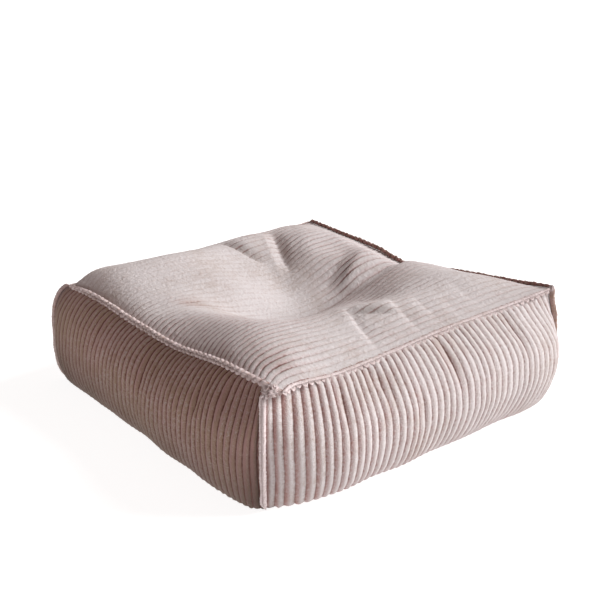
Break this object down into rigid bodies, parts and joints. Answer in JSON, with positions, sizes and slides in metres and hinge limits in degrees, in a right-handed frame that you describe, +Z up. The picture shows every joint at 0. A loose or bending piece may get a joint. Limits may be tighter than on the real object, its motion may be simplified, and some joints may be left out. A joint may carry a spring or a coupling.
{
  "type": "bean bag footstool",
  "caption": "Low square floor pouf in wide-wale corduroy, filled with beads, with raised topstitched seams and a settled, hollowed top.",
  "frame": {"origin": "centre of the base, on the floor", "axes": "+Z up out of the top panel; +X along the front side, in the direction of the top panel's wales; -Y out of the front side"},
  "size_m": [0.6833, 0.6832, 0.2177],
  "materials": {
    "corduroy": "wide-wale corduroy, soft cotton pile, dusty pink mauve",
    "corduroy_seam": "folded corduroy seam, topstitched, slightly darker mauve"
  },
  "bodies": {
    "root": {"cushion": "corduroy", "top_seam_front": "corduroy_seam", "top_seam_right": "corduroy_seam", "top_seam_back": "corduroy_seam", "top_seam_left": "corduroy_seam", "corner_seam_near": "corduroy_seam", "corner_seam_right": "corduroy_seam", "corner_seam_far": "corduroy_seam", "corner_seam_left": "corduroy_seam", "base_seam_front": "corduroy_seam", "base_seam_right": "corduroy_seam", "base_seam_back": "corduroy_seam", "base_seam_left": "corduroy_seam"}
  },
  "joints": []
}
